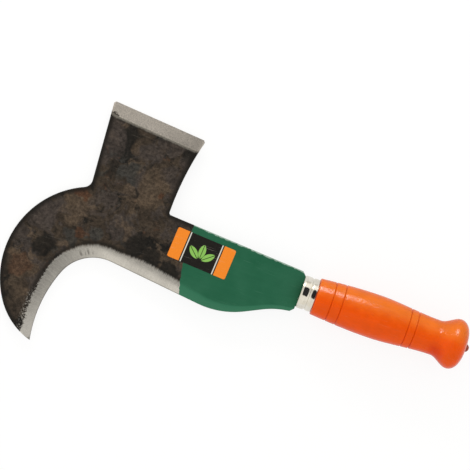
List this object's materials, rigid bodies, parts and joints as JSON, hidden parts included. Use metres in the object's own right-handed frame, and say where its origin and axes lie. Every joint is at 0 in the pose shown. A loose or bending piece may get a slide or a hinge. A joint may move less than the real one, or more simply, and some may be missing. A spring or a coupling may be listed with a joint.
{
  "type": "billhook",
  "caption": "Forged billhook with a hooked ground edge, an axe-shaped back, a green lacquered shoulder, a plated ferrule and a turned orange wooden handle.",
  "frame": {"origin": "on the handle's axis, midway between the ferrule's front and the butt, where a hand closes on it", "axes": "+X along the handle from the blade to the butt, +Y towards the axe-shaped back, +Z out of the labelled face"},
  "size_m": [0.3776, 0.2027, 0.0414],
  "materials": {
    "forged_steel": "dark brown forge scale, both edges ground bright, shoulder dipped in green lacquer",
    "nickel_plate": "bright nickel plate",
    "lacquered_wood": "glossy orange lacquer",
    "label_print": "printed and varnished"
  },
  "bodies": {
    "root": {"blade": "forged_steel", "ferrule": "nickel_plate", "handle": "lacquered_wood", "label": "label_print"}
  },
  "joints": []
}
